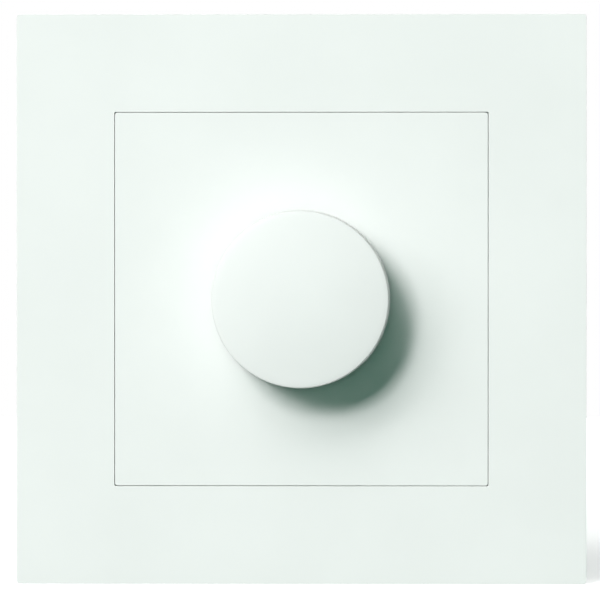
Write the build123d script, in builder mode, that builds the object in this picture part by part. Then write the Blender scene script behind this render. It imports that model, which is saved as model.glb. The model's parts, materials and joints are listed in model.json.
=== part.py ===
from build123d import *
import os
from math import cos, radians, sqrt, tan

# A flush wall dimmer: square surround frame, centre plate, push-and-turn knob, and the insert behind them.
# The wall is the plane y = 0. The room lies towards -Y, the wall box towards +Y, and +Z is up.
# A height is measured from the wall towards the room, so height h is the plane y = -h. All sizes are in mm.

# Surround frame
frame_width = 84.0
frame_rise = 9.0
frame_face = 2.0
frame_wall = 1.8
frame_lip = 1.5
frame_corner = 0.4
frame_edge = 0.06
frame_rib = 1.2
frame_rib_offset = 18.0
frame_rib_room = 0.5
frame_foot = 9.0
opening_corner = 0.2
opening_edge = 0.05
ledge_width = 1.75
ledge_thickness = 1.5

# Centre plate
plate_width = 55.0
plate_gap = 0.08
plate_face = 2.0
plate_rim = 1.6
plate_rim_depth = 3.5
plate_corner = 0.35
plate_edge = 0.05
plate_rib = 1.2
well_diameter = 18.5
well_depth = 4.0
well_wall = 1.5
well_floor = 1.6

# Knob
knob_diameter = 26.2
knob_height = 10.0
knob_gap = 2.0
knob_wall = 1.8
knob_top = 2.0
knob_dome = 0.9
knob_edge = 0.15
knob_draft = 1.5
knob_rib = 1.0
knob_rib_count = 6
knob_rib_setback = 3.0
hub_diameter = 9.6
clip_thickness = 0.4
clip_width = 3.6
clip_lip = 1.6
push_travel = 1.5
turn_range = 270.0

# Shaft and the threaded neck that carries it
shaft_diameter = 6.0
shaft_flat_depth = 1.5
shaft_end_gap = 0.3
shaft_fit = 0.05
collar_diameter = 8.4
collar_thickness = 1.0
drive_width = 4.0
tail_diameter = 3.0
tail_length = 1.35
neck_diameter = 10.0
neck_spare = 0.8
nut_flats = 14.0
nut_height = 2.6
nut_chamfer = 0.4
boss_diameter = 18.0
boss_step = 0.6

# Mounting plate of sheet steel
sheet = 1.0
bend = 0.5
mounting_width = 71.0
mounting_corner = 5.0
box_screw_spacing = 60.0
box_screw_hole = 3.6
slot_start = 14.0
slot_sweep = 20.0
locating_hole = 2.6
locating_offset = 31.0
flange_height = 3.5
flange_length = 40.0
tab_width = 11.0
tab_board_gap = 1.4

# Insert: cover, housing and the screws that join them to the plate
cover_thickness = 2.0
cover_lip = 1.0
cover_lip_depth = 1.2
housing_width = 42.0
housing_height = 46.0
housing_corner = 9.0
housing_wall = 1.6
housing_floor = 1.6
housing_edge = 1.0
field_width = 27.0
field_height = 14.0
field_corner = 1.0
field_depth = 0.3
pillar_inset = 6.5
pillar_diameter = 5.0
pillar_step = 1.0
vent_count = 5
vent_width = 1.2
vent_length = 8.0
vent_pitch = 3.6
assembly_screw = 2.5
assembly_screw_length = 13.0
assembly_head = 4.8
assembly_head_height = 1.5
slot_width = 0.8
slot_depth = 0.8

# Potentiometer
pot_diameter = 20.0
pot_wall = 1.2
pot_front = 1.2
rotor_room = 1.3
rotor_thickness = 2.0
rotor_hub = 9.0
rotor_hub_height = 1.0
rotor_lug = 12.0
stop_play = 1.0
track_thickness = 1.0
track_hole = 7.0
carbon_thickness = 0.1
carbon_width = 2.0
carbon_room = 0.8
wiper_thickness = 0.3
wiper_half_angle = 40.0
wiper_pad = 1.2
pin_width = 0.8
pin_pitch = 5.0

# Push contact under the shaft
switch_width = 11.0
switch_wall = 1.0
flange_width = 7.6
flange_depth = 6.0
flange_thickness = 1.2
bridge_thickness = 0.3
bridge_depth = 2.4
contact_width = 1.0
contact_gap = 0.1
push_spring_length = 3.8
push_spring_diameter = 4.8
push_spring_wire = 0.4
push_spring_turns = 4

# Circuit board and what stands on it
board_thickness = 1.6
board_gap = 0.4
part_gap = 0.7
capacitor_width = 5.5
capacitor_length = 13.0
capacitor_height = 10.5
capacitor_edge = 0.8
choke_length = 13.0
choke_turns = 9
choke_winding_depth = 1.7
choke_core_spare = 1.5
fuse_diameter = 5.2
fuse_length = 20.0
fuse_cap_length = 5.0
fuse_glass = 0.25
fuse_clip_width = 3.6
fuse_clip_sheet = 0.4
fuse_clip_mouth = 45.0
fuse_lift = 0.5
resistor_diameter = 2.4
resistor_waist = 1.9
resistor_length = 6.4
resistor_cap = 1.6
triac_width = 10.0
triac_thickness = 4.5
triac_tab = 1.2
triac_setback = 0.5
triac_leg_width = 0.8
triac_leg_pitch = 2.54
rivet_diameter = 3.0
rivet_head = 5.0
rivet_head_height = 0.8

# Terminals: a cage drawn along a screw clamps the wire against a bar
terminal_count = 3
terminal_divider = 1.4
cage_length = 5.2
cage_side = 0.7
cage_top = 1.0
cage_base = 1.4
cage_free = 1.7
cage_play = 0.3
cage_travel = 2.8
cage_closed = 0.4
wire_window_inset = 0.4
wire_funnel = 0.6
probe_hole = 1.6
probe_rise = 4.6
bar_thickness = 1.2
terminal_gap = 0.6
terminal_screw = 3.0
terminal_screw_spare = 1.5
terminal_head_inset = 0.4
terminal_head_height = 2.2
terminal_access = 4.0

# Claws that spread in the wall box
claw_width = 10.0
claw_sheet = 1.2
claw_bend = 1.2
claw_swing = 22.0
claw_seat = 1.4
claw_drop = 6.5
claw_nut_room = 0.8
claw_leg = 14.0
claw_lean = 1.6
claw_tip_reach = 2.0
claw_tip_drop = 1.5
claw_tooth_pitch = 3.3
claw_tooth_depth = 1.5
claw_screw = 3.0
claw_screw_offset = 2.6
claw_screw_length = 12.5
claw_nut_wall = 0.5
claw_nut_length = 8.0
claw_head = 5.6
claw_head_height = 1.6
claw_spring_diameter = 4.6
claw_spring_wire = 0.5
claw_spring_turns = 4

# Clearances
running_gap = 0.05
sliding_gap = 0.1
loose_gap = 0.2
moving_gap = 0.3

# Heights from the wall, positive towards the room
face_level = frame_rise
knob_base = face_level + knob_gap
knob_face = knob_base + knob_height
knob_ceiling = knob_face - knob_top
ledge_level = face_level - plate_rim_depth
ledge_under = ledge_level - ledge_thickness
frame_rib_level = flange_height + frame_rib_room
well_bottom = face_level - well_depth
well_under = well_bottom - well_floor
neck_top = well_bottom + nut_height + neck_spare
boss_top = sheet + boss_step
cover_under = -cover_thickness
pot_ceiling = cover_under - pot_front
collar_under = pot_ceiling - collar_thickness
rotor_front = collar_under - push_travel - moving_gap
rotor_back = rotor_front - rotor_thickness
track_level = rotor_back - rotor_hub_height
switch_top = track_level - track_thickness
drive_end = switch_top - loose_gap
slider_top = drive_end - loose_gap
slider_flange = switch_top - switch_wall - sliding_gap
slider_neck = drive_width * sqrt(2) + 2 * sliding_gap
tail_end = drive_end - tail_length
bridge_front = slider_flange - flange_thickness
bridge_back = bridge_front - bridge_thickness
board_front = bridge_back - push_spring_length
board_back = board_front - board_thickness
tab_reach = -board_front - tab_board_gap
cage_front = board_back - terminal_gap
cage_back = cage_front - cage_length
terminal_level = (cage_front + cage_back) / 2
housing_inside = cage_back - terminal_gap
housing_back = housing_inside - housing_floor

# Widths and places in the plane of the wall
opening = plate_width + 2 * plate_gap
hollow = frame_width - 2 * frame_wall
cavity_width = housing_width - 2 * housing_wall
cavity_height = housing_height - 2 * housing_wall
cavity_corner = housing_corner - housing_wall
pillar_x = housing_width / 2 - pillar_inset
pillar_z = housing_height / 2 - pillar_inset
shaft_flat = shaft_diameter / 2 - shaft_flat_depth
pot_inside = pot_diameter / 2 - pot_wall
rotor_diameter = 2 * (pot_inside - rotor_room)
carbon_outer = 2 * (pot_inside - carbon_room)
carbon_inner = carbon_outer - 2 * carbon_width
wiper_inner = rotor_hub + 2 * part_gap
tab_z = pot_diameter / 2 + part_gap + triac_thickness
stop_half_angle = (360 - turn_range) / 2 - rotor_lug - stop_play
rest_angle = 270 - (360 - turn_range) / 2
wire_space = cage_travel + cage_closed
terminal_screw_length = cage_free + cage_base + cage_travel + terminal_screw_spare
cavity_floor_z = -cavity_height / 2
head_z = cavity_floor_z + loose_gap
bar_z = head_z + terminal_head_height + terminal_screw_length
wire_z = bar_z + bar_thickness + wire_space / 2
cage_low_z = bar_z - cage_free - cage_base
cage_high_z = bar_z + bar_thickness + wire_space + cage_top
terminal_row = 2 * (pillar_x - pillar_diameter / 2 - pillar_step)
cage_room = (terminal_row - (terminal_count - 1) * terminal_divider) / terminal_count
cage_width = cage_room - 2 * cage_play
cage_inside = cage_width - 2 * cage_side
terminal_pitch = cage_room + terminal_divider
bar_width = cage_inside - 2 * cage_play
wire_window = cage_inside - 2 * wire_window_inset
terminal_head = cage_width - 2 * terminal_head_inset
terminal_places = [(i - (terminal_count - 1) / 2) * terminal_pitch for i in range(terminal_count)]
claw_pivot_x = housing_width / 2 + claw_seat
claw_screw_x = claw_pivot_x + claw_screw_offset
claw_nut_diameter = claw_screw + 2 * claw_nut_wall
claw_lug = claw_screw_offset + claw_nut_diameter / 2 + claw_nut_room + claw_sheet / 2
capacitor_x = -(pot_diameter / 2 + part_gap + capacitor_width / 2)
choke_diameter = cavity_width / 2 - pot_diameter / 2 - 2 * part_gap
choke_core_diameter = choke_diameter - 2 * choke_winding_depth
choke_x = pot_diameter / 2 + part_gap + choke_diameter / 2
fuse_z = -(pot_diameter / 2 + part_gap + fuse_diameter / 2 + fuse_clip_sheet)
fuse_level = board_front + fuse_diameter / 2 + fuse_clip_sheet + fuse_lift

os.makedirs("parts", exist_ok=True)


def wall_plane(height):
    """The plane parallel to the wall at a height: local x is X, local y is Z, and its normal is the room."""
    return Plane.XZ.offset(height)


def square(width):
    """A square round the middle of the open sketch."""
    return Rectangle(width, width)


def d_profile(radius, flat):
    """A round with one flat on its upper side, in the open sketch."""
    Circle(radius)
    with Locations((0, flat + radius)):
        Rectangle(4 * radius, 2 * radius, mode=Mode.SUBTRACT)


def ring_sector(inner, outer, middle, half):
    """A sector of a ring between two radii, half degrees to each side of its middle angle, as a sketch."""
    with BuildSketch() as sector:
        with BuildLine():
            near = CenterArc((0, 0), inner, middle - half, 2 * half)
            far = CenterArc((0, 0), outer, middle - half, 2 * half)
            Line(near @ 0, far @ 0)
            Line(near @ 1, far @ 1)
        make_face()
    return sector.sketch


def bent_strip(points, thickness, bend_radius):
    """A strip of sheet seen edge on, bent along its middle line, as a sketch."""
    with BuildSketch() as strip:
        with BuildLine():
            FilletPolyline(*points, radius=bend_radius)
            offset(amount=thickness / 2, side=Side.BOTH)
        make_face()
    return strip.sketch


def write(piece, label):
    """Names a finished piece and writes its STEP file."""
    piece.part.label = label
    export_step(piece.part, f"parts/{label}.step")


# Surround frame: a hollow square moulding with a ledge in its opening, standing on the plate at four corners
with BuildPart() as surround_frame:
    with BuildSketch(wall_plane(0)):
        RectangleRounded(frame_width, frame_width, frame_corner)
    extrude(amount=frame_rise)
    with BuildSketch(wall_plane(0)):
        square(hollow)
        Rectangle(opening + 2 * frame_lip, opening + 2 * frame_lip, mode=Mode.SUBTRACT)
    extrude(amount=frame_rise - frame_face, mode=Mode.SUBTRACT)
    with BuildSketch(wall_plane(ledge_level)):
        RectangleRounded(opening, opening, opening_corner)
    extrude(amount=plate_rim_depth, mode=Mode.SUBTRACT)
    with BuildSketch(wall_plane(0)):
        square(opening - 2 * ledge_width)
    extrude(amount=ledge_level, mode=Mode.SUBTRACT)
    with BuildSketch(wall_plane(0)):
        square(opening)
        Rectangle(hollow, opening - 2 * frame_foot)
        Rectangle(opening - 2 * frame_foot, hollow)
    extrude(amount=ledge_under, mode=Mode.SUBTRACT)
    with BuildSketch(wall_plane(0)):
        square(hollow)
    extrude(amount=sheet, mode=Mode.SUBTRACT)
    rib_reach = (hollow - opening) / 2 - frame_lip / 2 + frame_wall / 2
    rib_middle = (opening + frame_lip + rib_reach) / 2
    with BuildSketch(wall_plane(frame_rib_level)):
        with GridLocations(2 * rib_middle, 2 * frame_rib_offset, 2, 2):
            Rectangle(rib_reach, frame_rib)
        with GridLocations(2 * frame_rib_offset, 2 * rib_middle, 2, 2):
            Rectangle(frame_rib, rib_reach)
    extrude(amount=frame_rise - frame_face - frame_rib_level)
    frame_front = surround_frame.faces().sort_by(Axis.Y)[0]
    fillet(frame_front.outer_wire().edges(), frame_edge)
    frame_front = surround_frame.faces().sort_by(Axis.Y)[0]
    fillet(frame_front.inner_wires()[0].edges(), opening_edge)
write(surround_frame, "surround_frame")

# Centre plate: a ribbed square cap whose rim presses on the frame's ledge, with a well for the clamping nut
plate_inside = plate_width - 2 * plate_rim
with BuildPart() as centre_plate:
    with BuildSketch(wall_plane(ledge_level)):
        RectangleRounded(plate_width, plate_width, plate_corner)
    extrude(amount=plate_rim_depth)
    with BuildSketch(wall_plane(ledge_level)):
        square(plate_inside)
    extrude(amount=plate_rim_depth - plate_face, mode=Mode.SUBTRACT)
    with BuildSketch(wall_plane(ledge_level)):
        for turn in (0, 90):
            Rectangle(plate_width - plate_rim, plate_rib, rotation=turn)
        for turn in (45, 135):
            Rectangle((plate_width - plate_rim) * sqrt(2) - plate_rib, plate_rib, rotation=turn)
    extrude(amount=plate_rim_depth - plate_face)
    with BuildSketch(wall_plane(well_under)):
        Circle(well_diameter / 2 + well_wall)
    extrude(amount=well_depth + well_floor)
    with BuildSketch(wall_plane(well_bottom)):
        Circle(well_diameter / 2)
    extrude(amount=well_depth, mode=Mode.SUBTRACT)
    with BuildSketch(wall_plane(well_under)):
        Circle(neck_diameter / 2 + loose_gap)
    extrude(amount=well_floor, mode=Mode.SUBTRACT)
    plate_front = centre_plate.faces().sort_by(Axis.Y)[0]
    fillet(plate_front.outer_wire().edges(), plate_edge)
write(centre_plate, "centre_plate")

# Clamping nut: turned down on the neck, it holds the centre plate and, through its rim, the frame
with BuildPart() as clamping_nut:
    with BuildSketch(wall_plane(well_bottom)):
        RegularPolygon(nut_flats / 2, 6, major_radius=False)
        Circle(neck_diameter / 2 + running_gap, mode=Mode.SUBTRACT)
    extrude(amount=nut_height)
    nut_front = clamping_nut.faces().sort_by(Axis.Y)[0]
    chamfer(nut_front.outer_wire().edges(), nut_chamfer)
write(clamping_nut, "clamping_nut")

# Knob: a drafted cup with a slightly domed face and a ribbed hub, bored to a D for the shaft and its clip
clip_flat = shaft_flat + clip_thickness + running_gap
knob_rim = knob_face - knob_dome
knob_rim_radius = knob_diameter / 2 - (knob_rim - knob_base) * tan(radians(knob_draft))
with BuildPart() as knob:
    with BuildSketch(Plane.XY) as knob_profile:
        with BuildLine():
            skirt = Line((knob_diameter / 2, -knob_base), (knob_rim_radius, -knob_rim))
            dome = TangentArc((0, -knob_face), skirt @ 1, tangent=(1, 0))
            Polyline(dome @ 0, (0, -knob_base), skirt @ 0)
        make_face()
        fillet(knob_profile.vertices().sort_by(Axis.X)[-2], knob_edge)
    revolve(axis=Axis.Y)
    with BuildSketch(wall_plane(knob_base)):
        Circle(knob_diameter / 2 - knob_wall)
    extrude(amount=knob_height - knob_top, taper=knob_draft, mode=Mode.SUBTRACT)
    with BuildSketch(wall_plane(knob_base)):
        Circle(hub_diameter / 2)
    extrude(amount=knob_height - knob_top)
    with BuildSketch(wall_plane(knob_base + knob_rib_setback)):
        with PolarLocations(0, knob_rib_count // 2, angular_range=180):
            Rectangle(knob_diameter - 2 * knob_wall, knob_rib)
    extrude(amount=knob_height - knob_top - knob_rib_setback)
    with BuildSketch(wall_plane(knob_base)):
        d_profile(shaft_diameter / 2 + running_gap, clip_flat)
    extrude(amount=knob_height - knob_top, mode=Mode.SUBTRACT)
write(knob, "knob")

# Knob clip: a leaf between the shaft's flat and the hub, folded over the hub's end
clip_z = shaft_flat + clip_thickness / 2
clip_lip_y = clip_thickness / 2 + sliding_gap - knob_base
clip_end_y = shaft_end_gap + clip_thickness - knob_ceiling
clip_path = [(clip_end_y, clip_z), (clip_lip_y, clip_z), (clip_lip_y, clip_z + clip_lip)]
with BuildPart() as knob_clip:
    with BuildSketch(Plane.YZ):
        add(bent_strip(clip_path, clip_thickness, clip_thickness))
    extrude(amount=clip_width / 2, both=True)
write(knob_clip, "knob_clip")

# Shaft: D-ended at the knob, with a collar that stops it, a square for the wiper and a tail in the slider
flat_base = knob_base - 2 * clip_thickness
with BuildPart() as shaft:
    with BuildSketch(wall_plane(collar_under)):
        Circle(shaft_diameter / 2)
    extrude(amount=flat_base - collar_under)
    with BuildSketch(wall_plane(flat_base)):
        d_profile(shaft_diameter / 2, shaft_flat)
    extrude(amount=knob_ceiling - shaft_end_gap - flat_base)
    with BuildSketch(wall_plane(collar_under)):
        Circle(collar_diameter / 2)
    extrude(amount=collar_thickness)
    with BuildSketch(wall_plane(drive_end)):
        square(drive_width)
    extrude(amount=collar_under - drive_end)
    with BuildSketch(wall_plane(tail_end)):
        Circle(tail_diameter / 2)
    extrude(amount=tail_length)
write(shaft, "shaft")

# Mounting plate: sheet steel with turned-up sides, box screw holes and a tab bent back to cool the triac
bend_line = sheet / 2 + bend
tab_line = tab_z + sheet / 2
with BuildPart() as mounting_plate:
    with BuildSketch(wall_plane(0)):
        RectangleRounded(mounting_width, mounting_width, mounting_corner)
        with Locations((mounting_width / 2, 0), (-mounting_width / 2, 0)):
            Rectangle(2 * (sheet + bend), flange_length, mode=Mode.SUBTRACT)
        Circle(boss_diameter / 2 + loose_gap, mode=Mode.SUBTRACT)
        with Locations((0, (tab_line + bend_line) / 2)):
            Rectangle(tab_width + 2 * sheet, tab_line + bend_line, mode=Mode.SUBTRACT)
        with GridLocations(0, box_screw_spacing, 1, 2):
            Circle(box_screw_hole / 2, mode=Mode.SUBTRACT)
        with GridLocations(2 * locating_offset, 2 * locating_offset, 2, 2):
            Circle(locating_hole / 2, mode=Mode.SUBTRACT)
        with GridLocations(2 * claw_screw_x, 0, 2, 1):
            Circle(claw_screw / 2 + loose_gap, mode=Mode.SUBTRACT)
        with GridLocations(2 * pillar_x, 2 * pillar_z, 2, 2):
            Circle(assembly_screw / 2 + loose_gap, mode=Mode.SUBTRACT)
        slot_end = slot_start + slot_sweep
        for start in (slot_start, 180 - slot_end, 180 + slot_start, 360 - slot_end):
            with BuildLine(mode=Mode.PRIVATE) as slot_path:
                CenterArc((0, 0), box_screw_spacing / 2, start, slot_sweep)
            SlotArc(slot_path.edge(), box_screw_hole, mode=Mode.SUBTRACT)
    extrude(amount=sheet)
    edge_line = mounting_width / 2 - sheet / 2
    for side in (1, -1):
        root = (side * (edge_line - 3 * bend_line), -sheet / 2)
        corner = (side * edge_line, -sheet / 2)
        lip = (side * edge_line, sheet / 2 - flange_height)
        with BuildSketch(Plane.XY):
            add(bent_strip([root, corner, lip], sheet, bend_line))
        extrude(amount=flange_length / 2, both=True)
    tab_root = (-sheet / 2, tab_line + 3 * bend_line)
    tab_corner = (-sheet / 2, tab_line)
    tab_tip = (tab_reach - sheet / 2, tab_line)
    with BuildSketch(Plane.YZ):
        add(bent_strip([tab_root, tab_corner, tab_tip], sheet, bend_line))
    extrude(amount=tab_width / 2, both=True)
    rivet_level = cover_under - triac_setback - rivet_head / 2
    with BuildSketch(Plane.XY.offset(tab_z)):
        with Locations((0, -rivet_level)):
            Circle(rivet_diameter / 2 + running_gap)
    extrude(amount=sheet, mode=Mode.SUBTRACT)
write(mounting_plate, "mounting_plate")

# Insert cover: closes the housing, with the boss that centres the plate and the neck that bears the shaft
with BuildPart() as insert_cover:
    with BuildSketch(wall_plane(cover_under)):
        RectangleRounded(housing_width, housing_height, housing_corner)
    extrude(amount=cover_thickness)
    lip_width = cavity_width - 2 * loose_gap
    lip_height = cavity_height - 2 * loose_gap
    lip_corner = cavity_corner - loose_gap
    with BuildSketch(wall_plane(cover_under - cover_lip_depth)):
        RectangleRounded(lip_width, lip_height, lip_corner)
        RectangleRounded(
            lip_width - 2 * cover_lip, lip_height - 2 * cover_lip, lip_corner - cover_lip, mode=Mode.SUBTRACT
        )
        with GridLocations(2 * pillar_x, 2 * pillar_z, 2, 2):
            Circle(pillar_diameter / 2 + loose_gap, mode=Mode.SUBTRACT)
    extrude(amount=cover_lip_depth)
    with BuildSketch(wall_plane(0)):
        Circle(boss_diameter / 2)
    extrude(amount=boss_top)
    with BuildSketch(wall_plane(0)):
        Circle(neck_diameter / 2)
    extrude(amount=neck_top)
    with BuildSketch(wall_plane(cover_under)):
        Circle(shaft_diameter / 2 + shaft_fit)
    extrude(amount=neck_top - cover_under, mode=Mode.SUBTRACT)
    with BuildSketch(wall_plane(cover_under)):
        with Locations((0, tab_z + (sheet + bend) / 2)):
            Rectangle(tab_width + 2 * moving_gap, sheet + bend + 2 * moving_gap)
        with GridLocations(2 * pillar_x, 2 * pillar_z, 2, 2):
            Circle(assembly_screw / 2 + loose_gap)
    extrude(amount=cover_thickness, mode=Mode.SUBTRACT)
write(insert_cover, "insert_cover")

# Housing: a cup with four screw pillars, walls between the terminals, wire windows, vents and the claw seats
with BuildPart() as housing:
    with BuildSketch(wall_plane(housing_back)):
        RectangleRounded(housing_width, housing_height, housing_corner)
    extrude(amount=cover_under - housing_back)
    fillet(housing.faces().sort_by(Axis.Y)[-1].edges(), housing_edge)
    with BuildSketch(wall_plane(housing_inside)):
        RectangleRounded(cavity_width, cavity_height, cavity_corner)
    extrude(amount=cover_under - housing_inside, mode=Mode.SUBTRACT)
    with BuildSketch(wall_plane(housing_inside)):
        with GridLocations(2 * pillar_x, 2 * pillar_z, 2, 2):
            Circle(pillar_diameter / 2 + pillar_step)
    extrude(amount=board_back - housing_inside)
    with BuildSketch(wall_plane(board_back)):
        with GridLocations(2 * pillar_x, 2 * pillar_z, 2, 2):
            Circle(pillar_diameter / 2)
    extrude(amount=cover_under - board_back)
    pilot_depth = assembly_screw_length - sheet - cover_thickness + loose_gap
    with BuildSketch(wall_plane(cover_under)):
        with GridLocations(2 * pillar_x, 2 * pillar_z, 2, 2):
            Circle(assembly_screw / 2 + running_gap)
    extrude(amount=-pilot_depth, mode=Mode.SUBTRACT)
    divider_top_z = cage_high_z + cage_play
    divider_length = divider_top_z - cavity_floor_z + housing_wall / 2
    with BuildSketch(wall_plane(housing_inside)):
        with Locations((0, divider_top_z - divider_length / 2)):
            with GridLocations(terminal_pitch, 0, terminal_count + 1, 1):
                Rectangle(terminal_divider, divider_length)
    extrude(amount=cage_front - housing_inside)
    with BuildSketch(wall_plane(housing_back)):
        with Locations((0, wire_z)):
            with GridLocations(terminal_pitch, 0, terminal_count, 1):
                Rectangle(wire_window, wire_space)
    extrude(amount=housing_floor, mode=Mode.SUBTRACT)
    with BuildSketch(wall_plane(housing_back)):
        with Locations((0, wire_z)):
            with GridLocations(terminal_pitch, 0, terminal_count, 1):
                Rectangle(wire_window + 2 * wire_funnel, wire_space + 2 * wire_funnel)
    extrude(amount=wire_funnel, taper=45, mode=Mode.SUBTRACT)
    with BuildSketch(wall_plane(housing_back)):
        with Locations((0, wire_z + probe_rise)):
            with GridLocations(terminal_pitch, 0, terminal_count, 1):
                Circle(probe_hole / 2)
    extrude(amount=housing_floor, mode=Mode.SUBTRACT)
    with BuildSketch(wall_plane(housing_back)):
        with Locations((0, housing_height / 4)):
            RectangleRounded(field_width, field_height, field_corner)
    extrude(amount=field_depth, mode=Mode.SUBTRACT)
    with BuildSketch(Plane.XY.offset(-housing_height / 2)):
        with Locations((0, -terminal_level)):
            with GridLocations(terminal_pitch, 0, terminal_count, 1):
                Circle(terminal_access / 2)
    extrude(amount=housing_wall, mode=Mode.SUBTRACT)
    with BuildSketch(Plane.XY.offset(housing_height / 2)):
        with Locations((0, -(cover_under + board_front) / 2)):
            with GridLocations(vent_pitch, 0, vent_count, 1):
                SlotOverall(vent_length, vent_width, rotation=90)
    extrude(amount=-housing_wall, mode=Mode.SUBTRACT)
    seat_width = claw_width + 2 * sheet
    for side in (1, -1):
        with BuildSketch(Plane.XY.offset(-seat_width / 2)):
            with Locations((side * (claw_pivot_x - (claw_seat + housing_wall) / 2), claw_drop)):
                Rectangle(claw_seat + housing_wall, 2 * claw_seat + claw_sheet)
            with Locations((side * claw_pivot_x, claw_drop)):
                Circle(claw_sheet / 2 + loose_gap, mode=Mode.SUBTRACT)
        extrude(amount=seat_width)
write(housing, "housing")

# Assembly screws: pan heads on the mounting plate, threaded into the housing's pillars
with BuildPart() as assembly_screws:
    with BuildSketch(wall_plane(sheet)):
        with GridLocations(2 * pillar_x, 2 * pillar_z, 2, 2):
            Circle(assembly_screw / 2)
    extrude(amount=-assembly_screw_length)
    with BuildSketch(wall_plane(sheet)):
        with GridLocations(2 * pillar_x, 2 * pillar_z, 2, 2):
            Circle(assembly_head / 2)
    extrude(amount=assembly_head_height)
    with BuildSketch(wall_plane(sheet + assembly_head_height)):
        with GridLocations(2 * pillar_x, 2 * pillar_z, 2, 2):
            Rectangle(assembly_head, slot_width)
    extrude(amount=-slot_depth, mode=Mode.SUBTRACT)
write(assembly_screws, "assembly_screws")

# Potentiometer case: a round can with a stop in its side for the wiper carrier's lug
with BuildPart() as pot_case:
    with BuildSketch(wall_plane(track_level)):
        Circle(pot_diameter / 2)
    extrude(amount=cover_under - track_level)
    with BuildSketch(wall_plane(track_level)):
        Circle(pot_inside)
    extrude(amount=pot_ceiling - track_level, mode=Mode.SUBTRACT)
    with BuildSketch(wall_plane(pot_ceiling)):
        Circle(shaft_diameter / 2 + sliding_gap)
    extrude(amount=pot_front, mode=Mode.SUBTRACT)
    with BuildSketch(wall_plane(track_level)):
        add(ring_sector(rotor_diameter / 2 + moving_gap, pot_inside + pot_wall / 2, 270, stop_half_angle))
    extrude(amount=pot_ceiling - track_level)
write(pot_case, "pot_case")

# Track disc, the printed carbon track on it and the pins that join it to the board
with BuildPart() as track_disc:
    with BuildSketch(wall_plane(switch_top)):
        Circle(pot_diameter / 2)
        Circle(track_hole / 2, mode=Mode.SUBTRACT)
    extrude(amount=track_thickness)
write(track_disc, "track_disc")

with BuildPart() as carbon_track:
    with BuildSketch(wall_plane(track_level)):
        add(ring_sector(carbon_inner / 2, carbon_outer / 2, 90, turn_range / 2 + rotor_lug))
    extrude(amount=carbon_thickness)
write(carbon_track, "carbon_track")

pin_z = -(switch_width / 2 + pot_diameter / 2) / 2
with BuildPart() as pot_pins:
    with BuildSketch(wall_plane(board_front)):
        with Locations((0, pin_z)):
            with GridLocations(pin_pitch, 0, 3, 1):
                square(pin_width)
    extrude(amount=switch_top - board_front)
write(pot_pins, "pot_pins")

# Wiper carrier: turned by the shaft's square, with a lug that meets the stop at both ends of the turn
with BuildPart() as wiper_carrier:
    with BuildSketch(wall_plane(rotor_back)):
        Circle(rotor_diameter / 2)
        add(ring_sector(rotor_diameter / 4, pot_inside - moving_gap, rest_angle, rotor_lug))
    extrude(amount=rotor_thickness)
    with BuildSketch(wall_plane(track_level)):
        Circle(rotor_hub / 2)
    extrude(amount=rotor_hub_height)
    with BuildSketch(wall_plane(track_level)):
        square(drive_width + 2 * sliding_gap)
    extrude(amount=rotor_front - track_level, mode=Mode.SUBTRACT)
write(wiper_carrier, "wiper_carrier")

# Wiper contact: a sprung bronze segment under the carrier whose pad runs on the carbon track
with BuildPart() as wiper_contact:
    with BuildSketch(wall_plane(rotor_back - wiper_thickness)):
        add(ring_sector(wiper_inner / 2, rotor_diameter / 2 - running_gap, rest_angle, wiper_half_angle))
    extrude(amount=wiper_thickness)
    pad_radius = (carbon_inner + carbon_outer) / 4
    pad_end = track_level + carbon_thickness + running_gap
    with BuildSketch(wall_plane(pad_end)):
        with PolarLocations(pad_radius, 1, start_angle=rest_angle):
            Circle(wiper_pad / 2)
    extrude(amount=rotor_back - wiper_thickness - pad_end)
write(wiper_contact, "wiper_contact")

# Push contact: case, slider, bridge, fixed contacts and return spring
with BuildPart() as switch_case:
    with BuildSketch(wall_plane(board_front)):
        square(switch_width)
    extrude(amount=switch_top - board_front)
    with BuildSketch(wall_plane(board_front)):
        square(switch_width - 2 * switch_wall)
    extrude(amount=switch_top - switch_wall - board_front, mode=Mode.SUBTRACT)
    with BuildSketch(wall_plane(switch_top)):
        square(slider_neck + 2 * sliding_gap)
    extrude(amount=-switch_wall, mode=Mode.SUBTRACT)
write(switch_case, "switch_case")

with BuildPart() as push_slider:
    with BuildSketch(wall_plane(slider_flange)):
        square(slider_neck)
    extrude(amount=slider_top - slider_flange)
    with BuildSketch(wall_plane(bridge_front)):
        Rectangle(flange_width, flange_depth)
    extrude(amount=flange_thickness)
    with BuildSketch(wall_plane(slider_top)):
        Circle(tail_diameter / 2 + running_gap)
    extrude(amount=-(slider_top - tail_end + running_gap), mode=Mode.SUBTRACT)
write(push_slider, "push_slider")

with BuildPart() as contact_bridge:
    with BuildSketch(wall_plane(bridge_back)):
        Rectangle(flange_width, bridge_depth)
        Circle(push_spring_diameter / 2)
    extrude(amount=bridge_thickness)
write(contact_bridge, "contact_bridge")

contact_height = bridge_back - push_travel - contact_gap - board_front
with BuildPart() as fixed_contacts:
    with BuildSketch(wall_plane(board_front)):
        with GridLocations(flange_width - contact_width, 0, 2, 1):
            Rectangle(contact_width, bridge_depth)
    extrude(amount=contact_height)
write(fixed_contacts, "fixed_contacts")


def coil_spring(x, front, back, diameter, wire, turns):
    """A round-wire compression spring along Y at x, between two heights, just clear of both."""
    length = front - back - wire - 2 * running_gap
    start = Vector(x, -front + wire / 2 + running_gap, 0)
    with BuildPart() as spring:
        with BuildLine():
            coil = Helix(length / turns, length, (diameter - wire) / 2, center=start, direction=(0, 1, 0))
        with BuildSketch(Plane(origin=coil @ 0, z_dir=coil % 0)):
            Circle(wire / 2)
        sweep(is_frenet=True)
    return spring


push_size = (push_spring_diameter, push_spring_wire, push_spring_turns)
push_spring = coil_spring(0, bridge_back, board_front, *push_size)
write(push_spring, "push_spring")

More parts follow.
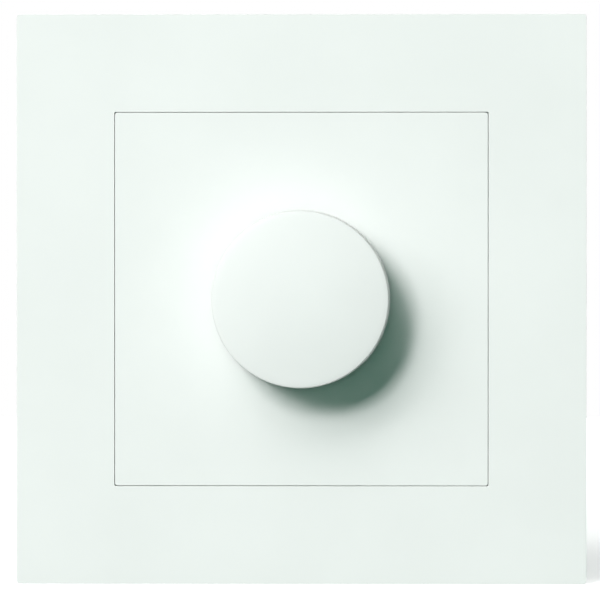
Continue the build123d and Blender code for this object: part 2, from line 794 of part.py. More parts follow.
# Circuit board, seated on the pillars' steps
with BuildPart() as circuit_board:
    with BuildSketch(wall_plane(board_back)):
        board_width = cavity_width - 2 * board_gap
        board_height = cavity_height - 2 * board_gap
        RectangleRounded(board_width, board_height, cavity_corner - board_gap)
        with GridLocations(2 * pillar_x, 2 * pillar_z, 2, 2):
            Circle(pillar_diameter / 2 + loose_gap, mode=Mode.SUBTRACT)
    extrude(amount=board_thickness)
write(circuit_board, "circuit_board")

# Film capacitor: a boxed block beside the potentiometer
with BuildPart() as film_capacitor:
    with BuildSketch(wall_plane(board_front)):
        with Locations((capacitor_x, 0)):
            RectangleRounded(capacitor_width, capacitor_length, capacitor_edge)
    extrude(amount=capacitor_height)
    fillet(film_capacitor.faces().sort_by(Axis.Y)[0].edges(), capacitor_edge / 2)
write(film_capacitor, "film_capacitor")

# Suppression choke: a ferrite rod in a close winding, lying on the board
choke_level = board_front + choke_diameter / 2
choke_wire = choke_length / choke_turns
with BuildPart() as choke_core:
    with BuildSketch(Plane.XY):
        with Locations((choke_x, -choke_level)):
            Circle(choke_core_diameter / 2)
    extrude(amount=choke_length / 2 + choke_core_spare, both=True)
write(choke_core, "choke_core")

with BuildPart() as choke_winding:
    bobbin_radius = choke_core_diameter / 2 + running_gap
    turn_radius = choke_diameter / 2 - choke_wire / 2
    with BuildSketch(wall_plane(choke_level)):
        with Locations((choke_x + (bobbin_radius + turn_radius) / 2, 0)):
            Rectangle(turn_radius - bobbin_radius, choke_length)
        with Locations((choke_x + turn_radius, 0)):
            with GridLocations(0, choke_wire, 1, choke_turns):
                Circle(choke_wire / 2)
    revolve(axis=Axis((choke_x, -choke_level, 0), (0, 0, 1)))
write(choke_winding, "choke_winding")

# Fuse: glass tube, end caps and the clips that hold it on the board
fuse_axis = Plane.YZ.offset(-fuse_length / 2)
with BuildPart() as fuse_tube:
    with BuildSketch(fuse_axis):
        with Locations((-fuse_level, fuse_z)):
            Circle(fuse_diameter / 2 - fuse_glass - running_gap)
    extrude(amount=fuse_length)
write(fuse_tube, "fuse_tube")

with BuildPart() as fuse_caps:
    for cap_start in (-fuse_length / 2, fuse_length / 2 - fuse_cap_length):
        with BuildSketch(Plane.YZ.offset(cap_start)):
            with Locations((-fuse_level, fuse_z)):
                Circle(fuse_diameter / 2)
                Circle(fuse_diameter / 2 - fuse_glass, mode=Mode.SUBTRACT)
        extrude(amount=fuse_cap_length)
write(fuse_caps, "fuse_caps")

with BuildPart() as fuse_clips:
    clip_inner = fuse_diameter / 2 + running_gap
    clip_outer = clip_inner + fuse_clip_sheet
    clip_middle = (fuse_length - fuse_cap_length) / 2
    fuse_mouth = fuse_diameter * tan(radians(fuse_clip_mouth))
    for middle in (-clip_middle, clip_middle):
        with BuildSketch(Plane.YZ.offset(middle - fuse_clip_width / 2)):
            with Locations((-(fuse_level + board_front) / 2, fuse_z)):
                Rectangle(fuse_level - board_front, fuse_diameter / 2)
            with Locations((-fuse_level, fuse_z)):
                Circle(clip_outer)
                Circle(clip_inner, mode=Mode.SUBTRACT)
                with Locations((-fuse_diameter / 2, 0)):
                    Rectangle(fuse_diameter, fuse_mouth, mode=Mode.SUBTRACT)
        extrude(amount=fuse_clip_width)
write(fuse_clips, "fuse_clips")

# Resistors: waisted bodies lying beside the push contact
resistor_x = (switch_width / 2 + pot_diameter / 2) / 2
resistor_level = board_front + resistor_diameter / 2
with BuildPart() as resistors:
    for x in (-resistor_x, resistor_x):
        with BuildSketch(wall_plane(resistor_level)):
            with Locations((x + resistor_waist / 4, 0)):
                Rectangle(resistor_waist / 2, resistor_length)
            with Locations((x + resistor_diameter / 4, 0)):
                with GridLocations(0, resistor_length - resistor_cap, 1, 2):
                    Rectangle(resistor_diameter / 2, resistor_cap)
        revolve(axis=Axis((x, -resistor_level, 0), (0, 0, 1)))
write(resistors, "resistors")

# Triac: moulded case on a lead frame that is riveted flat to the mounting plate's tab
triac_top = cover_under - triac_setback
triac_bottom = -tab_reach
triac_case_length = rivet_level - rivet_head / 2 - loose_gap - triac_bottom
triac_frame_z = tab_z - triac_tab
triac_case_z = tab_z - triac_thickness
leg_z = (triac_frame_z + triac_case_z) / 2
with BuildPart() as triac_lead_frame:
    with BuildSketch(Plane.XY.offset(triac_frame_z)):
        with Locations((0, -(triac_top + triac_bottom) / 2)):
            Rectangle(triac_width, triac_top - triac_bottom)
        with Locations((0, -rivet_level)):
            Circle(rivet_diameter / 2 + running_gap, mode=Mode.SUBTRACT)
    extrude(amount=triac_tab)
    with BuildSketch(wall_plane(board_front)):
        with Locations((0, leg_z)):
            with GridLocations(triac_leg_pitch, 0, 3, 1):
                square(triac_leg_width)
    extrude(amount=triac_bottom - board_front)
write(triac_lead_frame, "triac_lead_frame")

with BuildPart() as triac_case:
    with BuildSketch(Plane.XY.offset(triac_case_z)):
        with Locations((0, -triac_bottom - triac_case_length / 2)):
            Rectangle(triac_width, triac_case_length)
    extrude(amount=triac_frame_z - triac_case_z)
    chamfer(triac_case.faces().sort_by(Axis.Z)[0].edges(), capacitor_edge / 2)
write(triac_case, "triac_case")

with BuildPart() as triac_rivet:
    for start, radius, length in (
        (triac_frame_z - rivet_head_height, rivet_head / 2, rivet_head_height),
        (triac_frame_z, rivet_diameter / 2, triac_tab + sheet),
        (tab_z + sheet, rivet_head / 2, rivet_head_height),
    ):
        with BuildSketch(Plane.XY.offset(start)):
            with Locations((0, -rivet_level)):
                Circle(radius)
        extrude(amount=length)
write(triac_rivet, "triac_rivet")

# Terminals: contact bars soldered to the board, and for each one a screw and the cage that it draws
with BuildPart() as terminal_bars:
    with BuildSketch(Plane.XY.offset(bar_z)):
        with Locations((0, -(board_back + cage_back) / 2)):
            with GridLocations(terminal_pitch, 0, terminal_count, 1):
                Rectangle(bar_width, board_back - cage_back)
    extrude(amount=bar_thickness)
write(terminal_bars, "terminal_bars")


def terminal_screw_at(x):
    """A slotted screw pointing up at x, with its tip under the contact bar."""
    with BuildPart() as screw:
        with BuildSketch(Plane.XY.offset(head_z)):
            with Locations((x, -terminal_level)):
                Circle(terminal_head / 2)
        extrude(amount=terminal_head_height)
        with BuildSketch(Plane.XY.offset(head_z + terminal_head_height)):
            with Locations((x, -terminal_level)):
                Circle(terminal_screw / 2)
        extrude(amount=terminal_screw_length - running_gap)
        with BuildSketch(Plane.XY.offset(head_z)):
            with Locations((x, -terminal_level)):
                Rectangle(terminal_head, slot_width)
        extrude(amount=slot_depth, mode=Mode.SUBTRACT)
    return screw


def terminal_cage_at(x):
    """A square tube round the bar at x, tapped through its base for the screw."""
    inside_low = cage_low_z + cage_base
    inside_high = cage_high_z - cage_top
    with BuildPart() as cage:
        with BuildSketch(wall_plane(cage_back)):
            with Locations((x, (cage_low_z + cage_high_z) / 2)):
                Rectangle(cage_width, cage_high_z - cage_low_z)
            with Locations((x, (inside_low + inside_high) / 2)):
                Rectangle(cage_inside, inside_high - inside_low, mode=Mode.SUBTRACT)
        extrude(amount=cage_length)
        with BuildSketch(Plane.XY.offset(cage_low_z)):
            with Locations((x, -terminal_level)):
                Circle(terminal_screw / 2 + running_gap)
        extrude(amount=cage_base, mode=Mode.SUBTRACT)
    return cage


for number, place in enumerate(terminal_places, start=1):
    write(terminal_screw_at(place), f"terminal_screw_{number}")
    write(terminal_cage_at(place), f"terminal_cage_{number}")

# Claws: bent strips that pivot in the housing's seats, slotted for their screws and toothed at the tip
swing = radians(claw_swing)
slot_near = (claw_screw_offset - claw_screw / 2) / cos(swing) - claw_sheet / 2 * tan(swing) - loose_gap
slot_far = (claw_screw_offset + claw_screw / 2) / cos(swing) + claw_sheet / 2 * tan(swing) + loose_gap
claw_outer_x = claw_pivot_x + claw_lug
claw_heel_x = claw_outer_x - claw_lean
claw_tip_x = claw_heel_x + claw_tip_reach
claw_heel_y = claw_drop + claw_leg
claw_tip_y = claw_heel_y + claw_tip_drop


def claw_at(side):
    """The claw on the right (side 1) or the left (side -1) of the housing."""
    tooth_base = claw_tip_x + claw_sheet
    foot = (side * claw_pivot_x, claw_drop)
    knee = (side * claw_outer_x, claw_drop)
    heel = (side * claw_heel_x, claw_heel_y)
    tip = (side * claw_tip_x, claw_tip_y)
    with BuildPart() as claw:
        with BuildSketch(Plane.XY):
            add(bent_strip([foot, knee, heel, tip], claw_sheet, claw_bend))
        extrude(amount=claw_width / 2, both=True)
        with BuildSketch(wall_plane(-claw_drop)):
            with Locations((side * (claw_pivot_x + (slot_near + slot_far) / 2), 0)):
                SlotOverall(slot_far - slot_near, claw_screw + 2 * loose_gap)
        extrude(amount=claw_sheet, both=True, mode=Mode.SUBTRACT)
        with BuildSketch(wall_plane(-claw_tip_y - claw_sheet)):
            with GridLocations(0, claw_tooth_pitch, 1, 4):
                Polygon(
                    (side * tooth_base, claw_tooth_pitch / 2),
                    (side * tooth_base, -claw_tooth_pitch / 2),
                    (side * (tooth_base - claw_sheet / 2 - claw_tooth_depth), 0),
                    align=None,
                )
        extrude(amount=2 * claw_sheet + claw_tip_drop / 2, mode=Mode.SUBTRACT)
    return claw


def claw_screw_at(side):
    """A slotted pan-head screw through the mounting plate and the claw's slot."""
    x = side * claw_screw_x
    with BuildPart() as screw:
        with BuildSketch(wall_plane(sheet)):
            with Locations((x, 0)):
                Circle(claw_screw / 2)
        extrude(amount=-claw_screw_length)
        with BuildSketch(wall_plane(sheet)):
            with Locations((x, 0)):
                Circle(claw_head / 2)
        extrude(amount=claw_head_height)
        with BuildSketch(wall_plane(sheet + claw_head_height)):
            with Locations((x, 0)):
                Rectangle(claw_head, slot_width)
        extrude(amount=-slot_depth, mode=Mode.SUBTRACT)
    return screw


def claw_nut_at(side):
    """A barrel nut behind the claw's slot: the screw draws it forward and it swings the claw outward."""
    x = side * claw_screw_x
    barrel_y = claw_drop + claw_sheet / 2 + sliding_gap + claw_nut_diameter / 2
    with BuildPart() as barrel:
        with BuildSketch(Plane.XY):
            with Locations((x, barrel_y)):
                Circle(claw_nut_diameter / 2)
        extrude(amount=claw_nut_length / 2, both=True)
        with BuildSketch(wall_plane(-barrel_y)):
            with Locations((x, 0)):
                Circle(claw_screw / 2 + running_gap)
        extrude(amount=claw_nut_diameter, both=True, mode=Mode.SUBTRACT)
    return barrel


for name, side in (("right", 1), ("left", -1)):
    write(claw_at(side), f"claw_{name}")
    write(claw_screw_at(side), f"claw_screw_{name}")
    write(claw_nut_at(side), f"claw_nut_{name}")
    lug_front = claw_sheet / 2 - claw_drop
    claw_spring = coil_spring(
        side * claw_screw_x, 0, lug_front, claw_spring_diameter, claw_spring_wire, claw_spring_turns
    )
    write(claw_spring, f"claw_spring_{name}")
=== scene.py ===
# %% [markdown]
# # Dressing a wall dimmer
# The solids of this dimmer are already packed in one shared frame, in metres, with the wall at y = 0 and
# the room towards -y. This lesson models the pieces that show most again with finer edges, gives every
# surface a finish of its own, and sets the light and the camera.

# %% Load the frame
import json
import math

import bpy
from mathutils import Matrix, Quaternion, Vector

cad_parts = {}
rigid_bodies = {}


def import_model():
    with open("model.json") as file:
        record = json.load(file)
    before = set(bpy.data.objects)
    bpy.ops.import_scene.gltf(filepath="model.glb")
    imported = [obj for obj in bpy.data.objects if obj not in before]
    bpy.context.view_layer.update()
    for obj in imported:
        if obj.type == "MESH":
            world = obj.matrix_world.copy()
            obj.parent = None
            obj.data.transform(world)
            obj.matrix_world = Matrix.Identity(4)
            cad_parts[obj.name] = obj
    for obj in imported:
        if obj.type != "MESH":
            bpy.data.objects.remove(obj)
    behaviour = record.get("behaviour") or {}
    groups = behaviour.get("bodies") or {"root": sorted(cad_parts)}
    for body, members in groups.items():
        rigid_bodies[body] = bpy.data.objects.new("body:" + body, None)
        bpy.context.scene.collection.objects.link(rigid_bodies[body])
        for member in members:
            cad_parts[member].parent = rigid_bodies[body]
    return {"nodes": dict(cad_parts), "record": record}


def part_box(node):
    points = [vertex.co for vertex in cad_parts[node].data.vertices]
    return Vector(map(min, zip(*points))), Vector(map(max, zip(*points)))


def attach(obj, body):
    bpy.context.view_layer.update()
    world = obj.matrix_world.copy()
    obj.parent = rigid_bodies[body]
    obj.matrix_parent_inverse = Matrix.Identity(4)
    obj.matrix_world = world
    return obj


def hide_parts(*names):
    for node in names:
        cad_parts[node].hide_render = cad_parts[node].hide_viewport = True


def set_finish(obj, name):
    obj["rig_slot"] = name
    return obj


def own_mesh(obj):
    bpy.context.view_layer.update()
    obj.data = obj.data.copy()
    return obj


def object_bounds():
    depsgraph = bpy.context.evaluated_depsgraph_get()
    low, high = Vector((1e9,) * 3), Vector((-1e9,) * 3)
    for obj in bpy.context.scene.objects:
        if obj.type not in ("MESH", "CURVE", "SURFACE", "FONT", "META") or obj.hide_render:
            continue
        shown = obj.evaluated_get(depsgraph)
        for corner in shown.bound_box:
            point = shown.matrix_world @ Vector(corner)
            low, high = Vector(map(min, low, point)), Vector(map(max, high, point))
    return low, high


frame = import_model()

solid_low, solid_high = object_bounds()
MM = 0.001
nodes = frame["nodes"]
print("loaded", len(nodes), "solids in a box of", [round(s / MM, 1) for s in solid_high - solid_low], "mm")

# %% [markdown]
# ## Bench tools
# A few short helpers stand for the moves that a hand would make: add a block at its size and place, pick
# faces or edges by where they lie, inset, push and round them, and cut one piece with another. An
# operator acts on all that is selected, so what was held before is put down first. Places are
# written in millimetres and turned into metres inside the helpers, so the numbers below read like a
# drawing. A helper that only one kind of piece needs comes with that piece.


# %% Adding a block
def put_down():
    """Leaves edit mode with nothing selected."""
    if bpy.context.mode != "OBJECT":
        bpy.ops.object.mode_set(mode="OBJECT")
    bpy.ops.object.select_all(action="DESELECT")


def use(piece):
    """Makes one piece the selected and active object."""
    put_down()
    piece.select_set(True)
    bpy.context.view_layer.objects.active = piece


def discard(piece):
    """Throws a piece out."""
    use(piece)
    bpy.ops.object.delete()


def seated(name):
    """Names the active object and moves its place, turn and size into its mesh."""
    piece = bpy.context.object
    piece.name = name
    bpy.ops.object.transform_apply(location=True, rotation=True, scale=True)
    return piece


def block(name, low, high, turn=0):
    """A block between two corners, turned about its own y axis by some degrees."""
    put_down()
    middle = [(a + b) / 2 * MM for a, b in zip(low, high)]
    bpy.ops.mesh.primitive_cube_add(size=MM, location=middle, rotation=(0, math.radians(turn), 0))
    bpy.context.object.scale = [b - a for a, b in zip(low, high)]
    return seated(name)


print("one unit on the bench is", MM, "m")

# %% Picking faces and edges
# Tolerances in millimetres, and how squarely a face has to look along an axis
same_place, in_plane, facing = 0.002, 0.01, 0.9


def near(a, b):
    """Two places in millimetres are the same."""
    return abs(a - b) < same_place


def to_front(middle, normal):
    """A face looks into the room."""
    return normal.y < -facing


def to_back(middle, normal):
    """A face looks towards the wall."""
    return normal.y > facing


def front_to_back(a, b):
    """An edge runs along y."""
    return not near(a.y, b.y)


def pick(piece, kind, parts, test):
    """Selects, in edit mode, the faces or edges that pass a test."""
    use(piece)
    bpy.ops.object.mode_set(mode="EDIT")
    bpy.ops.mesh.select_mode(type=kind)
    bpy.ops.mesh.select_all(action="DESELECT")
    bpy.ops.object.mode_set(mode="OBJECT")
    for part in parts:
        part.select = test(part)
    bpy.ops.object.mode_set(mode="EDIT")


def pick_faces(piece, test):
    """Picks faces by their middle and their normal."""
    pick(piece, "FACE", piece.data.polygons, lambda face: test(face.center / MM, face.normal))


def pick_edges(piece, test):
    """Picks edges by their two ends."""
    points = piece.data.vertices
    pick(
        piece, "EDGE", piece.data.edges,
        lambda edge: test(*(points[end].co / MM for end in edge.vertices)),
    )


print("places closer than", same_place, "mm count as one")


# %% Shaping what is picked
def inset(width):
    """Insets the picked faces."""
    bpy.ops.mesh.inset(thickness=width * MM, use_even_offset=True)


def push(x, y, z):
    """Extrudes the picked faces by some millimetres."""
    bpy.ops.mesh.extrude_region_move(TRANSFORM_OT_translate={"value": (x * MM, y * MM, z * MM)})


def round_edges(piece, test, radius, segments):
    """Rounds the edges that pass a test."""
    pick_edges(piece, test)
    bpy.ops.mesh.bevel(offset=radius * MM, segments=segments, profile=0.5, affect="EDGES")
    bpy.ops.object.mode_set(mode="OBJECT")


def carve(piece, tool, operation):
    """Adds a tool to a piece, or cuts it away, and throws the tool out."""
    use(piece)
    bpy.ops.object.modifier_add(type="BOOLEAN")
    change = piece.modifiers[-1]
    change.operation = operation
    change.solver = "EXACT"
    change.object = tool
    bpy.ops.object.modifier_apply(modifier=change.name)
    discard(tool)


print("pieces are cut and joined by exact booleans")

# %% [markdown]
# ## Surround frame
# The frame is one moulding: a flat square bar round a square opening, hollow behind. Its edges are nearly
# sharp, as a good steel mould leaves them. The outside is a block whose edges are rounded while it is
# still plain, because a bevel runs cleanly round one whole face. The opening, the hole inside the ledge
# and the hollow are then cut with blocks that reach a little past what they cut, so that no faces lie in
# one plane.

# %% Surround frame
frame_low, frame_high = (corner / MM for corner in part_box("surround_frame"))
plate_low, plate_high = (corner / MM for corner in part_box("centre_plate"))
half, face_y, back_y = frame_high.x, frame_low.y, frame_high.y
wall, face_depth, lip, gap = 1.8, 2.0, 1.5, 0.08
rim_depth, ledge_width, ledge_depth = 3.5, 1.75, 1.5
outer_corner, mouth_corner = 0.4, 0.2
front_edge, mouth_edge, back_edge = 0.06, 0.05, 0.15
past = 1.0
opening = plate_high.x + gap
ledge_y = face_y + rim_depth
ledge_back = ledge_y + ledge_depth
hollow_y = face_y + face_depth


def square_reach(point):
    """How far a point lies from the middle, measured as a square."""
    return max(abs(point.x), abs(point.z))


def in_front(a, b):
    """Both ends of an edge lie in the front face."""
    return max(a.y, b.y) < face_y + in_plane


def at_back(a, b):
    """Both ends of an edge lie in the back of the frame."""
    return min(a.y, b.y) > back_y - in_plane


def round_mouth(a, b):
    """An edge lies in the front face, round the opening."""
    return in_front(a, b) and max(square_reach(a), square_reach(b)) < opening + past


def square_block(name, reach, front, back):
    """A block round the middle, between two places on y."""
    return block(name, (-reach, front, -reach), (reach, back, reach))


surround = square_block("surround_moulding", half, face_y, back_y)
round_edges(surround, front_to_back, outer_corner, segments=5)
round_edges(surround, in_front, front_edge, segments=3)
round_edges(surround, at_back, back_edge, segments=2)

mouth = square_block("mouth", opening, face_y - past, ledge_y)
round_edges(mouth, front_to_back, mouth_corner, segments=3)
carve(surround, mouth, "DIFFERENCE")
round_edges(surround, round_mouth, mouth_edge, segments=3)
hole = square_block("hole", opening - ledge_width, ledge_y - past, ledge_back + past)
carve(surround, hole, "DIFFERENCE")

hollow = square_block("hollow", half - wall, ledge_back, back_y + past)
pick_faces(hollow, to_front)
inset(half - wall - opening - lip)
pick_faces(hollow, lambda middle, normal: to_front(middle, normal) and square_reach(middle) > opening)
push(0, hollow_y - ledge_back, 0)
carve(surround, hollow, "DIFFERENCE")
print("frame bar", round(half - opening, 2), "mm wide round an opening of", round(2 * opening, 2), "mm")

# %% [markdown]
# ## Feet and ribs of the frame
# Four feet stand on the mounting plate behind the corners of the opening, and eight ribs stiffen the
# hollow bar. One foot and one rib are modelled. The rib is copied once further down, and then all are
# copied by quarter turns round the middle. They are sunk a little into the frame, because a union needs
# pieces that overlap. A finished piece is shaded so that round faces look soft and flat ones flat, and
# then it takes the place of its solid.


# %% Copying and finishing a piece
def copied(piece, name, turn=0, move=(0, 0, 0)):
    """A copy with its own mesh, turned about the y axis by some degrees and then moved."""
    use(piece)
    bpy.ops.object.duplicate(linked=False)
    bpy.context.object.rotation_euler = (0, math.radians(turn), 0)
    bpy.context.object.location = [distance * MM for distance in move]
    return seated(name)


def joined(pieces):
    """Joins several pieces into the first."""
    use(pieces[0])
    for piece in pieces:
        piece.select_set(True)
    bpy.ops.object.join()
    return pieces[0]


def pick_all(piece):
    """Picks the whole mesh."""
    use(piece)
    bpy.ops.object.mode_set(mode="EDIT")
    bpy.ops.mesh.select_all(action="SELECT")


def smooth(piece, angle=35):
    """Shades faces softly across edges that turn by less than some degrees."""
    pick_all(piece)
    bpy.ops.mesh.normals_make_consistent(inside=False)
    bpy.ops.object.mode_set(mode="OBJECT")
    bpy.ops.object.shade_smooth_by_angle(angle=math.radians(angle))
    bpy.ops.object.modifier_add(type="WEIGHTED_NORMAL")
    piece.modifiers[-1].keep_sharp = True
    bpy.ops.object.modifier_apply(modifier=piece.modifiers[-1].name)


def stands_for(piece, body, slot, node):
    """Lets a finished piece move with its body in place of a solid."""
    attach(piece, body)
    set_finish(piece, slot)
    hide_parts(node)
    print(piece.name, "has", len(piece.data.polygons), "faces and stands for", node)


# %% Feet and ribs of the frame
foot_length, foot_end, rib, rib_at, sunk = 9.0, -1.0, 1.2, 18.0, 0.5
quarters = (90, 180, 270)
foot = block("foot", (opening, ledge_back - sunk, opening), (opening + lip, foot_end, opening + lip))
pick_faces(foot, lambda middle, normal: normal.x < -facing)
push(-foot_length, 0, 0)
pick_faces(foot, lambda middle, normal: normal.z < -facing and middle.x > opening)
push(0, 0, -foot_length)
feet = [foot, *(copied(foot, "foot", turn) for turn in quarters)]

rib_low = (opening + lip / 2, hollow_y - sunk, rib_at - rib / 2)
upper_rib = block("rib", rib_low, (half - wall / 2, ledge_back, rib_at + rib / 2))
lower_rib = copied(upper_rib, "rib", move=(0, 0, -2 * rib_at))
ribs = [copied(one, "rib", turn) for one in (upper_rib, lower_rib) for turn in quarters]
carve(surround, joined(feet), "UNION")
carve(surround, joined([upper_rib, lower_rib, *ribs]), "UNION")
smooth(surround)
stands_for(surround, "base", "white_moulding", "surround_frame")

# %% [markdown]
# ## Centre plate
# A shallow square cap drops into the frame with a gap as fine as a pencil line. It is a block hollowed
# from behind, with ribs, and a round well in the middle where the clamping nut sits under the knob. The
# ribs could be extruded from the inner face, but bars that are added one by one cross each other cleanly.
# The edges are almost sharp, because the gap should look thin and even.

# %% Centre plate
plate_rim, plate_rib, plate_corner, plate_edge = 1.6, 1.2, 0.35, 0.05
well_radius, well_inside, well_depth, neck_hole = 10.75, 9.25, 4.0, 5.2


def rod(name, front, back, radius, sides=96):
    """A rod on the y axis, between two places."""
    put_down()
    bpy.ops.mesh.primitive_cylinder_add(
        vertices=sides, radius=radius * MM, depth=(back - front) * MM,
        location=(0, (front + back) / 2 * MM, 0), rotation=(math.pi / 2, 0, 0),
    )
    return seated(name)


def plate_upright(a, b):
    """An edge runs along y at an outer corner of the plate."""
    return front_to_back(a, b) and square_reach(a) > opening - past


plate = block("plate_moulding", (plate_low.x, face_y, plate_low.z), (plate_high.x, ledge_y, plate_high.z))
pick_faces(plate, to_back)
inset(plate_rim)
push(0, hollow_y - ledge_y, 0)
round_edges(plate, plate_upright, plate_corner, segments=4)
round_edges(plate, in_front, plate_edge, segments=3)

straight = plate_high.x - plate_rim / 2
diagonal = straight * math.sqrt(2) - plate_rib / 2
bars = [
    block("bar", (-reach, hollow_y - sunk, -plate_rib / 2), (reach, ledge_y, plate_rib / 2), turn)
    for reach, turn in ((straight, 0), (diagonal, 45))
]
bars += [copied(bar, "bar", 90) for bar in bars]
for bar in bars:
    carve(plate, bar, "UNION")
well_floor, well_back = face_y + well_depth, plate_high.y
carve(plate, rod("well", face_y + sunk, well_back, well_radius), "UNION")
carve(plate, rod("well_hollow", face_y - past, well_floor, well_inside), "DIFFERENCE")
carve(plate, rod("neck_hole", well_floor - past, well_back + past, neck_hole), "DIFFERENCE")
smooth(plate)
stands_for(plate, "base", "white_moulding", "centre_plate")

# %% [markdown]
# ## Knob
# The knob is a drafted cup, so that it could leave its mould, and its face is a very flat dome. A spun
# profile would do, but rings are easy to follow: the front of a rod is inset again and again, and each
# ring rises a little less than the one before. Behind, the rod is hollowed and given a hub, ribs and a
# D-shaped bore for the shaft.

# %% Knob
knob_low, knob_high = (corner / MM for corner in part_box("knob"))
knob_radius, draft_angle, dome, rings = knob_high.x, 1.5, 0.9, 15
draft = math.tan(math.radians(draft_angle))
knob_rim_y = knob_low.y + dome
knob_rim = knob_radius - draft * (knob_high.y - knob_rim_y)
crown = (knob_rim**2 + dome**2) / (2 * dome)


def crown_y(out):
    """The place of the domed face at a distance from the axis."""
    return knob_low.y + crown - math.sqrt(crown**2 - out**2)


def narrow(ratio, y):
    """Draws the picked faces in towards the y axis."""
    bpy.ops.transform.resize(value=(ratio, 1, ratio), center_override=(0, y * MM, 0))


knob = rod("knob_moulding", knob_rim_y, knob_high.y, knob_radius, sides=192)
pick_faces(knob, to_front)
narrow(knob_rim / knob_radius, knob_rim_y)
step = knob_rim / rings
for ring in range(1, rings):
    inset(step)
    rise = crown_y(knob_rim - ring * step) - crown_y(knob_rim - (ring - 1) * step)
    bpy.ops.transform.translate(value=(0, rise * MM, 0))
print("knob face", round(2 * knob_rim, 2), "mm wide, domed by", dome, "mm in", rings, "rings")

# %% Inside and rim of the knob
knob_wall, knob_top, knob_edge, hub = 1.8, 2.0, 0.15, 4.8
spoke_width, spoke_height, bore_radius, bore_flat = 1.0, 5.0, 3.05, 1.95
ceiling = knob_low.y + knob_top
cup_depth = knob_high.y - ceiling
inside = knob_radius - knob_wall


def on_rim(a, b):
    """An edge lies on the outer rim of the knob's face."""
    return near(a.y, knob_rim_y) and near(b.y, knob_rim_y) and a.xz.length > knob_rim - knob_edge


pick_faces(knob, to_back)
inset(knob_wall)
push(0, -cup_depth, 0)
narrow(1 - draft * cup_depth / inside, ceiling)
inset(inside - draft * cup_depth - hub)
push(0, cup_depth, 0)

spoke_low = (-inside, ceiling - sunk, -spoke_width / 2)
spoke = block("spoke", spoke_low, (inside, ceiling + spoke_height, spoke_width / 2))
for bar in (*(copied(spoke, "spoke", turn) for turn in (60, 120)), spoke):
    carve(knob, bar, "UNION")
bore = rod("bore", ceiling, knob_high.y + past, bore_radius, sides=64)
pick_all(bore)
bpy.ops.mesh.bisect(plane_co=(0, 0, bore_flat * MM), plane_no=(0, 0, 1), use_fill=True, clear_outer=True)
carve(knob, bore, "DIFFERENCE")
round_edges(knob, on_rim, knob_edge, segments=4)
smooth(knob)
stands_for(knob, "knob", "white_moulding", "knob")

# %% [markdown] ## Springs Three springs of round steel wire work in the dimmer: one returns the knob
# after a push, and one on each claw screw pushes its claw back. A coil could follow a curve, but the
# Screw modifier is simpler: it carries a small round outline round an axis while it climbs. The open ends
# are filled, so that each coil is a closed body. The two claw springs are alike, so one is made and
# copied.


# %% Winding a coil
def coil(name, front, radius, section, sides, squeeze, pitch, turns, steps):
    """Carries a small outline round the y axis, from a place on that axis towards the back."""
    put_down()
    bpy.ops.mesh.primitive_circle_add(
        vertices=sides, radius=section * MM, location=(radius * MM, front * MM, 0), scale=(1, squeeze, 1)
    )
    piece = seated(name)
    bpy.ops.object.modifier_add(type="SCREW")
    sweep = piece.modifiers[-1]
    sweep.axis = "Y"
    sweep.angle = 2 * math.pi * turns
    sweep.screw_offset = pitch * turns * MM
    sweep.steps = sweep.render_steps = round(steps * turns)
    sweep.use_merge_vertices = False
    bpy.ops.object.modifier_apply(modifier=sweep.name)
    bpy.ops.object.mode_set(mode="EDIT")
    bpy.ops.mesh.select_all(action="DESELECT")
    bpy.ops.mesh.select_non_manifold()
    bpy.ops.mesh.fill_holes(sides=0)
    bpy.ops.mesh.select_all(action="SELECT")
    bpy.ops.mesh.normals_make_consistent(inside=False)
    bpy.ops.object.mode_set(mode="OBJECT")
    return piece


def wire_spring(name, node, wire, turns):
    """A spring of round wire on the y axis, as long and as wide as its solid."""
    low, high = (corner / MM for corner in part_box(node))
    climb = high.y - low.y - wire
    piece = coil(
        name, low.y + wire / 2, (high.x - low.x - wire) / 2, section=wire / 2, sides=12, squeeze=1,
        pitch=climb / turns, turns=turns, steps=40,
    )
    smooth(piece, angle=60)
    return piece


def middle_x(node):
    """Where a node's axis lies."""
    low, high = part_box(node)
    return (low.x + high.x) / 2 / MM


print("claw springs lie at x =", [round(middle_x(f"claw_spring_{side}"), 1) for side in ("left", "right")])

# %% Springs
coils, board_y = 4, 16.4
push_coil = wire_spring("push_coil", "push_spring", wire=0.4, turns=coils)
stands_for(push_coil, "base", "spring_steel", "push_spring")
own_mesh(push_coil)

claw_coil = wire_spring("claw_coil", "claw_spring_right", wire=0.5, turns=coils)
for side in ("left", "right"):
    axis_x = middle_x(f"claw_spring_{side}")
    spring = copied(claw_coil, f"claw_coil_{side}", move=(axis_x, 0, 0))
    stands_for(spring, "base", "spring_steel", f"claw_spring_{side}")
    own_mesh(spring)
discard(claw_coil)

# %% [markdown]
# ## Claw screws
# Each claw is drawn up by a slotted screw. A short rod becomes the pan head: its back is inset and pushed
# out to make the shank with a drawn-in tip, its front edge is rounded, and the slot is cut. The thread is
# one more coil, this time of a four-sided outline, so that it has a sharp ridge. The outline is sunk a
# little into the shank before the two are made one.

